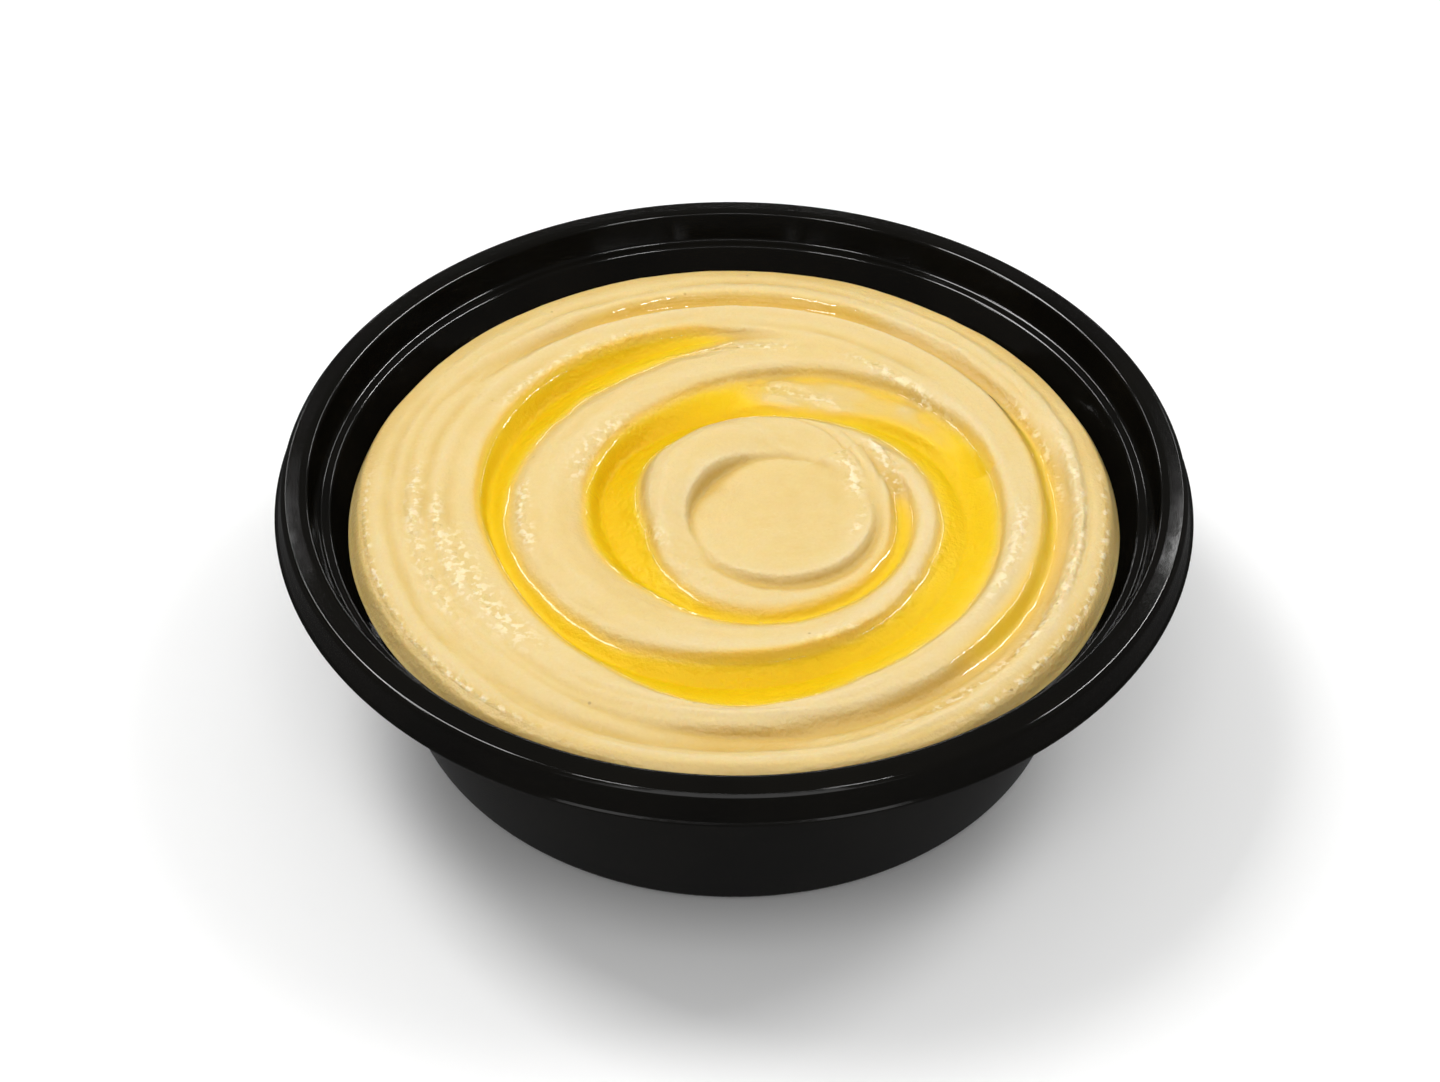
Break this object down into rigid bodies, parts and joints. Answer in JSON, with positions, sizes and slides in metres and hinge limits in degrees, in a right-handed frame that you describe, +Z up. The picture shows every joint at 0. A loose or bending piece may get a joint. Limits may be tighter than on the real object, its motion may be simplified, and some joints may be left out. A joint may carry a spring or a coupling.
{
  "type": "bowl of hummus",
  "caption": "Round black takeaway bowl filled with smooth beige hummus, spread in a wide spiral swirl that holds a pool of golden olive oil.",
  "frame": {"origin": "middle of the bowl's flat base, on the surface it stands on", "axes": "+Z up through the middle of the bowl; -Y towards the side that the picture was taken from; +X to the right of it"},
  "size_m": [0.1862, 0.1862, 0.0542],
  "materials": {
    "bowl": "glossy black moulded polypropylene",
    "hummus": "smooth moist chickpea puree, soft sheen",
    "olive_oil": "clear golden oil, wet gloss"
  },
  "bodies": {
    "root": {"bowl": "bowl", "hummus": "hummus", "olive_oil": "olive_oil"}
  },
  "joints": []
}
